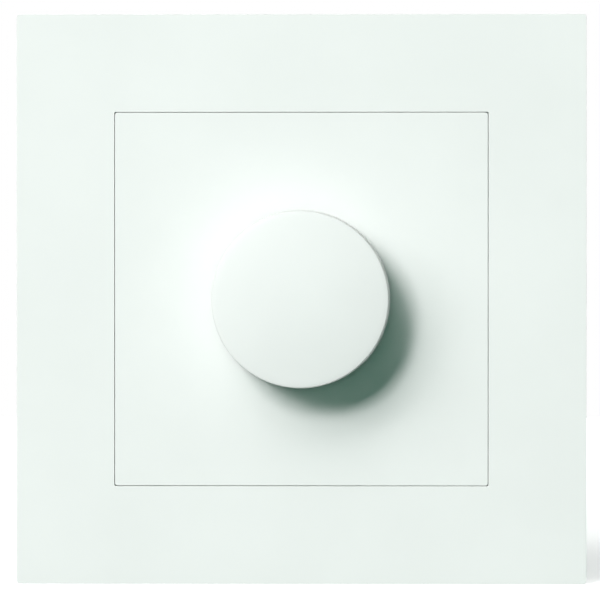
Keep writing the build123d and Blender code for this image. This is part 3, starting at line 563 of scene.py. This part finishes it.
# %% Claw screws
screw_low, screw_high = (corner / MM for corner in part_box("claw_screw_right"))
head, head_back, head_round = (screw_high.x - screw_low.x) / 2, -1.0, 0.7
shank, tip, tip_ratio = 1.22, 0.35, 0.75
slot_width, slot_depth = 0.8, 0.9
pitch, ridge, ridge_squeeze, thread_sunk = 0.5, 0.3, 0.75, 0.06
plain_neck, plain_ends = 0.7, 1.4
bolt = rod("claw_bolt", screw_low.y, head_back, head, sides=64)
pick_faces(bolt, to_back)
inset(head - shank)
push(0, screw_high.y - head_back - tip, 0)
push(0, tip, 0)
narrow(tip_ratio, screw_high.y)
round_edges(bolt, lambda a, b: max(a.y, b.y) < screw_low.y + in_plane, head_round, segments=5)
slot_low = (-head - past, screw_low.y - past, -slot_width / 2)
slot_high = (head + past, screw_low.y + slot_depth, slot_width / 2)
carve(bolt, block("slot", slot_low, slot_high), "DIFFERENCE")
turns = int((screw_high.y - head_back - plain_ends) / pitch)
thread = coil(
    "thread", head_back + plain_neck, shank - thread_sunk, section=ridge, sides=4, squeeze=ridge_squeeze,
    pitch=pitch, turns=turns, steps=30,
)
carve(bolt, thread, "UNION")
smooth(bolt, angle=30)
for side in ("left", "right"):
    screw = copied(bolt, f"claw_bolt_{side}", move=(middle_x(f"claw_screw_{side}"), 0, 0))
    stands_for(screw, f"claw_screw_{side}", "screw_steel", f"claw_screw_{side}")
discard(bolt)

# %% [markdown]
# ## Mixing a finish
# A finish is a small graph of shader nodes. The Wire class below lets sums and products of node outputs
# be written as plain arithmetic, and the Graph class adds one node at a time: settings first, then the
# values or wires of its sockets. All patterns read object coordinates in metres, so a scale of 5000 means
# grains a fifth of a millimetre across, and the pattern stays on the piece when it moves.


# %% Arithmetic on wires
class Wire:
    """One output of a node, with arithmetic."""

    def __init__(self, graph, socket):
        self.graph = graph
        self.socket = socket

    def math(self, operation, first, second):
        """One math node between two wires, or a wire and a number."""
        return self.graph.node("ShaderNodeMath", {"operation": operation}, {0: first, 1: second})

    def __add__(self, other):
        return self.math("ADD", self, other)

    def __radd__(self, other):
        return self.math("ADD", other, self)

    def __sub__(self, other):
        return self.math("SUBTRACT", self, other)

    def __rsub__(self, other):
        return self.math("SUBTRACT", other, self)

    def __mul__(self, other):
        return self.math("MULTIPLY", self, other)

    def __rmul__(self, other):
        return self.math("MULTIPLY", other, self)


print("wires can be added, subtracted and multiplied")


# %% Adding nodes
class Graph:
    """A node tree that is built one node at a time."""

    def __init__(self, tree):
        tree.nodes.clear()
        self.tree = tree

    def node(self, kind, settings=None, sockets=None, output=0):
        """Adds a node and gives back the wire of one of its outputs, if it has any."""
        made = self.tree.nodes.new(kind)
        for name, value in (settings or {}).items():
            setattr(made, name, value)
        for name, value in (sockets or {}).items():
            if isinstance(value, Wire):
                self.tree.links.new(value.socket, made.inputs[name])
            else:
                made.inputs[name].default_value = value
        return Wire(self, made.outputs[output]) if made.outputs else made

    def place(self, scale=(1, 1, 1)):
        """Object coordinates, stretched."""
        spot = self.node("ShaderNodeTexCoord", output="Object")
        return self.node("ShaderNodeMapping", {}, {"Vector": spot, "Scale": scale})

    def noise(self, spot, scale, detail=2.0, rough=0.5):
        """A soft random pattern around one half."""
        sockets = {"Vector": spot, "Scale": scale, "Detail": detail, "Roughness": rough}
        return self.node("ShaderNodeTexNoise", {}, sockets)

    def spread(self, wire, low, high, to_low=0.0, to_high=1.0):
        """Stretches part of a pattern's range to a new one."""
        sockets = {"Value": wire, 1: low, 2: high, 3: to_low, 4: to_high}
        return self.node("ShaderNodeMapRange", {"interpolation_type": "SMOOTHSTEP"}, sockets)

    def tint(self, factor, first, second):
        """A colour between two, by a pattern."""
        return self.node("ShaderNodeMix", {"data_type": "RGBA"}, {0: factor, 6: first, 7: second}, output=2)

    def bump(self, height, distance, strength, normal=None):
        """Raises the surface by a pattern, in metres."""
        sockets = {"Height": height, "Distance": distance, "Strength": strength}
        if normal:
            sockets["Normal"] = normal
        return self.node("ShaderNodeBump", {}, sockets)

    def soft_edges(self, radius):
        """Normals that round a sharp edge by a small radius."""
        return self.node("ShaderNodeBevel", {"samples": 6}, {"Radius": radius})

    def surface(self, sockets):
        """Ends the graph in one principled surface."""
        shader = self.node("ShaderNodeBsdfPrincipled", {}, sockets)
        self.node("ShaderNodeOutputMaterial", {}, {"Surface": shader})


print("a graph has", [name for name in vars(Graph) if not name.startswith("_")])


# %% Materials and colours
def finish(name):
    """A new material and its empty graph."""
    material = bpy.data.materials.new(name)
    material.use_nodes = True
    return material, Graph(material.node_tree)


def shade(red, green, blue):
    """A colour written as it looks on screen, from 0 to 255, by the sRGB curve."""
    linear = [((c / 255 + 0.055) / 1.055) ** 2.4 if c > 10 else c / 255 / 12.92 for c in (red, green, blue)]
    return (*linear, 1.0)


finishes = {}
print("a mid grey on screen is", round(shade(128, 128, 128)[0], 3), "in the shader")

# %% [markdown]
# ## Moulded plastics
# The white parts are satin mouldings. A spark-eroded mould leaves a very fine even grain, and slow clouds
# a few centimetres wide keep the large flats from looking painted. The dark insert is a thermoset:
# duller, with pale specks of filler and faint streaks where the material flowed. A photographed texture
# could show all this, but noise patterns need no file and have no seams.

# %% Moulded plastics
cloud_scale, grain_scale, speck_scale, streak_stretch = 45, 5200, 1900, (60, 60, 500)


def moulding(name, pale, deep, roughness, grain_depth, speck=None, edge=0.0, shine=0.5):
    """A moulded plastic between two shades, with a fine grain and, where given, specks and soft edges."""
    material, graph = finish(name)
    spot = graph.place()
    clouds = graph.noise(spot, cloud_scale, detail=3)
    grain = graph.noise(spot, grain_scale, rough=0.6)
    colour = graph.tint(graph.spread(clouds, 0.3, 0.7), deep, pale)
    if speck:
        specks = graph.spread(graph.noise(spot, speck_scale, detail=1), 0.66, 0.74)
        streaks = graph.noise(graph.place(streak_stretch), 1, detail=3)
        colour = graph.tint(specks * 0.55 + streaks * 0.12, colour, speck)
    rough = roughness + (grain - 0.5) * 0.14 + (clouds - 0.5) * 0.08
    rounded = graph.soft_edges(edge) if edge else None
    graph.surface({
        "Base Color": colour, "Roughness": rough, "IOR": 1.5, "Specular IOR Level": shine,
        "Normal": graph.bump(grain, grain_depth, 0.5, rounded),
    })
    finishes[name] = material


moulding(
    "white_moulding", shade(236, 236, 235), shade(233, 233, 232),
    roughness=0.42, grain_depth=0.000012, shine=0.2,
)
moulding(
    "insert_moulding", shade(66, 68, 70), shade(54, 56, 58),
    roughness=0.52, grain_depth=0.00002, speck=shade(112, 113, 112), edge=0.0003,
)
moulding(
    "black_moulding", shade(34, 34, 36), shade(25, 25, 27),
    roughness=0.46, grain_depth=0.000015, speck=shade(58, 58, 60), edge=0.0002,
)
moulding(
    "capacitor_case", shade(214, 166, 62), shade(196, 148, 48),
    roughness=0.4, grain_depth=0.000015, edge=0.0003,
)
print("mouldings:", sorted(finishes))

# %% [markdown]
# ## Metals
# Rolled sheet has a grain along one direction, and its zinc plating carries a faint blue and straw tint
# that drifts over a centimetre or so. Turned and drawn metal has tighter marks. Each metal is one recipe
# with its own colours, grain direction and roughness.

# %% Metals
drift_scale, scuff_scale, patch_scale, line_depth = 95, 420, 60, 0.000006


def metal(name, pale, deep, roughness, grain, tarnish=None, edge=0.00015):
    """A bare metal between two shades, with grain per metre along x, y and z, scuffs and soft edges."""
    material, graph = finish(name)
    drift = graph.noise(graph.place(), drift_scale, detail=3, rough=0.6)
    lines = graph.noise(graph.place(grain), 1, detail=4, rough=0.7)
    scuffs = graph.spread(graph.noise(graph.place(), scuff_scale, detail=4, rough=0.7), 0.52, 0.8)
    colour = graph.tint(graph.spread(drift + (lines - 0.5) * 0.5, 0.3, 0.7), deep, pale)
    if tarnish:
        patches = graph.spread(graph.noise(graph.place(), patch_scale), 0.45, 0.75)
        colour = graph.tint(patches * 0.5, colour, tarnish)
    rough = roughness + (lines - 0.5) * 0.22 + scuffs * 0.12 + (drift - 0.5) * 0.1
    graph.surface({
        "Base Color": colour, "Roughness": rough, "Metallic": 1.0,
        "Normal": graph.bump(lines, line_depth, 0.5, graph.soft_edges(edge)),
    })
    finishes[name] = material


metal(
    "zinc_plated_steel", shade(206, 210, 213), shade(184, 189, 194),
    roughness=0.34, grain=(60, 60, 2600), tarnish=shade(212, 206, 186), edge=0.0003,
)
metal("screw_steel", shade(214, 213, 208), shade(186, 186, 184), roughness=0.3, grain=(1500, 300, 1500))
metal(
    "spring_steel", shade(168, 168, 170), shade(132, 132, 136),
    roughness=0.32, grain=(2200, 2200, 2200), edge=0.00005,
)
metal(
    "brass", shade(222, 190, 118), shade(198, 162, 92),
    roughness=0.3, grain=(1800, 200, 1800), tarnish=shade(190, 140, 96),
)
metal("bronze", shade(206, 158, 116), shade(176, 128, 90), roughness=0.32, grain=(200, 1800, 200))
metal(
    "copper_wire", shade(206, 122, 78), shade(172, 92, 54),
    roughness=0.28, grain=(900, 900, 900), tarnish=shade(150, 66, 40), edge=0.00005,
)
metal(
    "tinned_metal", shade(218, 217, 213), shade(196, 196, 194),
    roughness=0.27, grain=(900, 900, 300), tarnish=shade(204, 200, 190),
)
print("metals ready, finishes so far:", len(finishes))

# %% [markdown]
# ## Board, ferrite and carbon
# The inside shows only where the housing is open, but each material still has its own look. The board is
# pressed paper laminate with fibres along one direction, the choke's core is sintered ferrite, and the
# track is a printed film of carbon. One recipe with three scales does for all of them.

# %% Board, ferrite and carbon
finer = 9


def pressed(name, pale, deep, scale, roughness, depth, stretch=(1, 1, 1)):
    """A pressed or printed material between two shades, with fibres and a fine tooth."""
    material, graph = finish(name)
    fibres = graph.noise(graph.place(stretch), scale, detail=5, rough=0.65)
    tooth = graph.noise(graph.place(), scale * finer)
    colour = graph.tint(graph.spread(fibres, 0.3, 0.7), deep, pale)
    rough = roughness + (tooth - 0.5) * 0.2
    graph.surface({"Base Color": colour, "Roughness": rough, "Normal": graph.bump(tooth, depth, 0.4)})
    finishes[name] = material


pressed(
    "board_laminate", shade(176, 136, 84), shade(150, 110, 62),
    scale=240, roughness=0.45, depth=0.00001, stretch=(1, 1, 3),
)
pressed("ferrite", shade(72, 70, 70), shade(50, 49, 50), scale=900, roughness=0.62, depth=0.00002)
pressed("carbon_film", shade(42, 41, 42), shade(28, 28, 29), scale=700, roughness=0.55, depth=0.00001)
print("finishes so far:", len(finishes))

# %% [markdown]
# ## Fuse glass and resistor lacquer
# The fuse is a glass tube, and a faint ripple in its tint and its roughness keeps it from looking
# perfect. The resistors are lacquered and carry plain rings of colour, which are only generic stripes:
# the way along the body runs from 0 to 1, and each ring is a narrow band of it.

# %% Fuse glass and resistor lacquer
ripple_stretch, lacquer_scale, gloss_scale = (400, 60, 400), 300, 1500
ring_inside, ring_outside = 0.035, 0.05


def tube_glass(name):
    """Clear glass with a faint ripple."""
    material, graph = finish(name)
    ripple = graph.noise(graph.place(ripple_stretch), 1)
    graph.surface({
        "Base Color": graph.tint(ripple, shade(248, 252, 250), shade(240, 247, 244)),
        "Roughness": 0.02 + ripple * 0.04, "IOR": 1.5, "Transmission Weight": 1.0,
    })
    finishes[name] = material


def ringed_lacquer(name, node, stripes):
    """Cream lacquer with coloured rings along z, placed by the box of a node."""
    material, graph = finish(name)
    low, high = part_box(node)
    quarter = (high.z - low.z) / 4
    height = graph.node("ShaderNodeSeparateXYZ", {}, {"Vector": graph.place()}, output="Z")
    sockets = {"Value": height, 1: low.z + quarter, 2: high.z - quarter, 3: 0.0, 4: 1.0}
    way = graph.node("ShaderNodeMapRange", {}, sockets)
    clouds = graph.noise(graph.place(), lacquer_scale)
    colour = graph.tint(clouds, shade(214, 196, 158), shade(202, 182, 142))
    for middle, paint in stripes:
        offset = graph.node("ShaderNodeMath", {"operation": "ABSOLUTE"}, {0: way - middle})
        colour = graph.tint(graph.spread(offset, ring_inside, ring_outside, 1.0, 0.0), colour, paint)
    rough = 0.24 + graph.noise(graph.place(), gloss_scale) * 0.12
    graph.surface({"Base Color": colour, "Roughness": rough, "Coat Weight": 0.4})
    finishes[name] = material


tube_glass("fuse_glass")
brown, black = shade(120, 70, 40), shade(40, 38, 38)
orange, gold = shade(190, 110, 40), shade(188, 150, 70)
rings_at = ((0.18, brown), (0.36, black), (0.54, orange), (0.8, gold))
ringed_lacquer("resistor_lacquer", "resistors", rings_at)
print("all", len(finishes), "finishes are mixed")

# %% [markdown]
# ## Putting the finishes on
# Each solid keeps the material slot that its record names, and each new piece has been given one above,
# so one loop over the solids and one over the pieces dress everything.

# %% Putting the finishes on
slots = {part["node"]: part["material_slot"] for part in frame["record"]["subparts"]}
for name, solid in nodes.items():
    solid.data.materials.clear()
    solid.data.materials.append(finishes[slots[name]])
for piece in bpy.data.objects:
    if "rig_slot" in piece:
        piece.data.materials.clear()
        piece.data.materials.append(finishes[piece["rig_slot"]])
print("dressed", len(nodes), "solids")

# %% [markdown]
# ## Floor
# The dimmer stands on a sheet of pale paper. The camera sees the paper with a glow added, so that it
# burns out to white, and the glow is weaker behind the dimmer, where its shadow should show. Other rays
# pass through the sheet, and so does a look from below, because the paper shouldn't throw light on the
# dimmer or hide its underside.

# %% Floor
paper_size, paper_scale, glow_front, glow_back = 1.6, 40, -0.02, 0.01
put_down()
bpy.ops.mesh.primitive_plane_add(size=paper_size, location=(0, 0, solid_low.z))
floor = seated("floor")
material, graph = finish("floor_paper")
clouds = graph.noise(graph.place(), paper_scale)
paper = graph.node("ShaderNodeBsdfDiffuse", {}, {
    "Color": graph.tint(clouds, shade(236, 238, 237), shade(240, 242, 241)),
})
depth = graph.node("ShaderNodeSeparateXYZ", {}, {"Vector": graph.place()}, output="Y")
behind = graph.spread(depth, glow_front, glow_back)
glow = graph.node("ShaderNodeEmission", {}, {
    "Color": graph.tint(behind, shade(210, 210, 210), shade(112, 112, 112)),
})
bright = graph.node("ShaderNodeAddShader", {}, {0: paper, 1: glow})
clear = graph.node("ShaderNodeBsdfTransparent")
seen = graph.node("ShaderNodeLightPath", output="Is Camera Ray")
under = graph.node("ShaderNodeNewGeometry", output="Backfacing")
mixed = graph.node("ShaderNodeMixShader", {}, {0: seen * (1 - under), 1: clear, 2: bright})
graph.node("ShaderNodeOutputMaterial", {}, {"Surface": mixed})
floor.data.materials.append(material)
print("floor laid at", round(solid_low.z / MM, 1), "mm")

# %% [markdown]
# ## Light
# The knob's shadow tells how the studio was lit: it has a firm edge down to the right and fades slowly
# beyond it. So a small key light stands high on the left, with a strip and a wide panel further out in
# the same direction. Their long sides lie across the way to the dimmer, which shortens the ends of the
# shadow. A weak green light from the front gives the shadow its cool tint. Two lights stand behind and
# one below, so that the back can be looked at too. Places are in metres and powers in watts, set so that
# a colour looks about as it was written.


# %% Light
def softbox(name, place, across, size, power, colour=(1, 1, 1)):
    """A soft light aimed at the middle of the dimmer, with one side lying across the way there."""
    bpy.ops.object.light_add(type="AREA", location=place)
    lamp = bpy.context.object
    lamp.name = name
    lamp.data.shape = "RECTANGLE"
    lamp.data.size = across
    lamp.data.size_y = size
    lamp.data.energy = power
    lamp.data.color = colour
    x, _, z = place
    aimed = (-Vector(place)).to_track_quat("-Z", "Y")
    lamp.rotation_euler = (aimed @ Quaternion((0, 0, 1), math.atan2(-x, z))).to_euler()
    lamp.visible_camera = False


softbox("key", (-0.86, -2.4, 0.875), across=0.68, size=0.44, power=41)
softbox("strip", (-1.37, -2.4, 1.41), across=2.2, size=0.75, power=33)
softbox("wide", (-1.74, -2.4, 2.23), across=4.8, size=1.45, power=52)
softbox("front", (0.02, -2.4, 0.02), across=0.4, size=0.4, power=3.4, colour=(0.1, 1, 0.6))
softbox("back_left", (-0.7, 1.0, 0.65), across=0.9, size=0.9, power=12.5)
softbox("back_right", (0.9, 0.7, 0.4), across=0.9, size=0.9, power=12.5)
softbox("low", (0.2, 0.5, -1.2), across=0.8, size=0.8, power=8)

# %% [markdown]
# ## World
# The surroundings are white to the camera, and in metal and glass too, so that they mirror the same
# bright room. For every other ray the world is only a faint, slightly green fill that keeps the shadow
# from going black.

# %% World
world = bpy.data.worlds.new("studio")
world.use_nodes = True
bpy.context.scene.world = world
graph = Graph(world.node_tree)
fill = graph.node("ShaderNodeBackground", {}, {"Color": (0.72, 1.0, 0.88, 1), "Strength": 0.07})
white = graph.node("ShaderNodeBackground", {}, {"Color": (1, 1, 1, 1), "Strength": 1.0})
camera_ray, glossy_ray, clear_ray = (
    graph.node("ShaderNodeLightPath", output=f"Is {kind} Ray")
    for kind in ("Camera", "Glossy", "Transmission")
)
sockets = {0: camera_ray + glossy_ray, 1: clear_ray}
either = graph.node("ShaderNodeMath", {"operation": "ADD", "use_clamp": True}, sockets)
mixed = graph.node("ShaderNodeMixShader", {}, {0: either, 1: fill, 2: white})
graph.node("ShaderNodeOutputWorld", {}, {"Surface": mixed})
print("world:", world.name)

# %% [markdown]
# ## Camera
# The dimmer is looked at straight on through a long lens, so its sides stay hidden. The camera stands a
# little to the right and above the middle, which shows a sliver of the knob's right side, and it is aimed
# a hair off the middle to frame the picture.

# %% Camera
distance, aside, above = 0.75, 0.0135, 0.0053
aim = Vector((-0.00019, face_y * MM, 0.00009))
bpy.ops.object.camera_add(location=(aside, face_y * MM - distance, above))
camera = bpy.context.object
camera.data.sensor_width = 36
camera.data.lens = 305.3
camera.data.clip_start = 0.01
camera.rotation_euler = (aim - camera.location).to_track_quat("-Z", "Y").to_euler()
bpy.context.scene.camera = camera
bpy.context.scene.view_settings.view_transform = "Standard"
print("camera", round((aim - camera.location).length, 3), "m from the face")

# %% [markdown]
# ## Size note
# The dressed dimmer should fill the same box as its solids.
